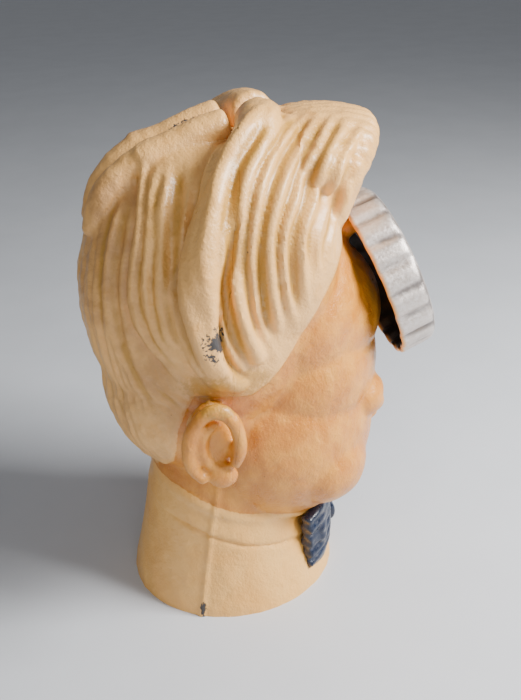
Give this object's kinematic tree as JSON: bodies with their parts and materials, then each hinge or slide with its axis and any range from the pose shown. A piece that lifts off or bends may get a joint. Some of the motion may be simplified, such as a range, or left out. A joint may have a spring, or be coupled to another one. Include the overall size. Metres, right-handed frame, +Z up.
{
  "type": "mechanical bank",
  "caption": "Hollow painted cast-iron head-and-collar coin bank with a crown slot, a tipping ribbed cap linked to a coin gate and rolling eyes, and a latched trap door in the base.",
  "frame": {"origin": "on the floor under the middle of the whole object", "axes": "+Z up, the face and the cap towards -Y, the proper left side towards +X"},
  "size_m": [0.103, 0.1223, 0.1827],
  "materials": {
    "hair_paint": "glossy cream paint over sand-cast iron",
    "skin_paint": "glossy tan-orange paint over sand-cast iron",
    "bow_paint": "glossy dark blue paint",
    "cap_silver": "worn silver paint over sand-cast iron",
    "eye_paint": "gloss white paint with a dark iris",
    "bare_iron": "unpainted sand-cast iron",
    "steel": "plain steel",
    "brass": "bent and cast brass"
  },
  "bodies": {
    "bust": {"front_casting": "skin_paint", "rear_casting": "hair_paint", "bow_tie": "bow_paint", "bow_tie_rivet": "steel", "base_plate": "bare_iron", "base_screw_left": "steel", "base_screw_right": "steel", "base_screw_rear": "steel", "case_screw_upper": "steel", "case_screw_lower": "steel", "coin_chute": "brass", "chute_rivet_left": "steel", "chute_rivet_right": "steel", "cap_hinge_pin": "steel", "gate_pivot_pin": "steel", "trap_hinge_pin": "steel", "latch_rivet": "steel"},
    "cap": {"cap_shell": "cap_silver", "cap_arm": "steel", "cap_rivet": "steel", "link_pin": "steel"},
    "gate_pull": {"gate_link": "steel"},
    "eye_pull": {"eye_link": "steel"},
    "gate": {"coin_gate": "brass", "gate_link_pin": "steel"},
    "eyes": {"eyeball_left": "eye_paint", "eyeball_right": "eye_paint", "eye_axle": "steel", "eye_crank": "brass", "eye_link_pin": "steel"},
    "trap": {"trap_door": "bare_iron"},
    "latch": {"trap_latch": "steel"}
  },
  "joints": [
    {"name": "cap_tip", "type": "hinge", "parent": "bust", "child": "cap", "pos_m": [0, -0.03389, 0.13828], "axis": [-1, 0, 0], "range_deg": [0, 20]},
    {"name": "gate_swing", "type": "hinge", "parent": "bust", "child": "gate", "pos_m": [0, -0.00494, 0.15378], "axis": [-1, 0, 0], "range_deg": [0, 20]},
    {"name": "eye_roll", "type": "hinge", "parent": "bust", "child": "eyes", "pos_m": [0, -0.032, 0.077], "axis": [-1, 0, 0], "range_deg": [0, 20]},
    {"name": "gate_link_turn", "type": "hinge", "parent": "cap", "child": "gate_pull", "pos_m": [0.0034, -0.01589, 0.12428], "axis": [-1, 0, 0], "range_deg": [-20, 0]},
    {"name": "eye_link_turn", "type": "hinge", "parent": "cap", "child": "eye_pull", "pos_m": [0.006, -0.01589, 0.12428], "axis": [-1, 0, 0], "range_deg": [-20, 0]},
    {"name": "trap_swing", "type": "hinge", "parent": "bust", "child": "trap", "pos_m": [0, 0.0365, 0.0054], "axis": [1, 0, 0], "range_deg": [0, 105]},
    {"name": "latch_turn", "type": "hinge", "parent": "bust", "child": "latch", "pos_m": [0, -0.0074, 0.0039], "axis": [0, 0, 1], "range_deg": [0, 90]}
  ],
  "couplings": [
    {"joint": "gate_swing", "follows": "cap_tip", "ratio": 1},
    {"joint": "eye_roll", "follows": "cap_tip", "ratio": 1},
    {"joint": "gate_link_turn", "follows": "cap_tip", "ratio": -1},
    {"joint": "eye_link_turn", "follows": "cap_tip", "ratio": -1}
  ]
}
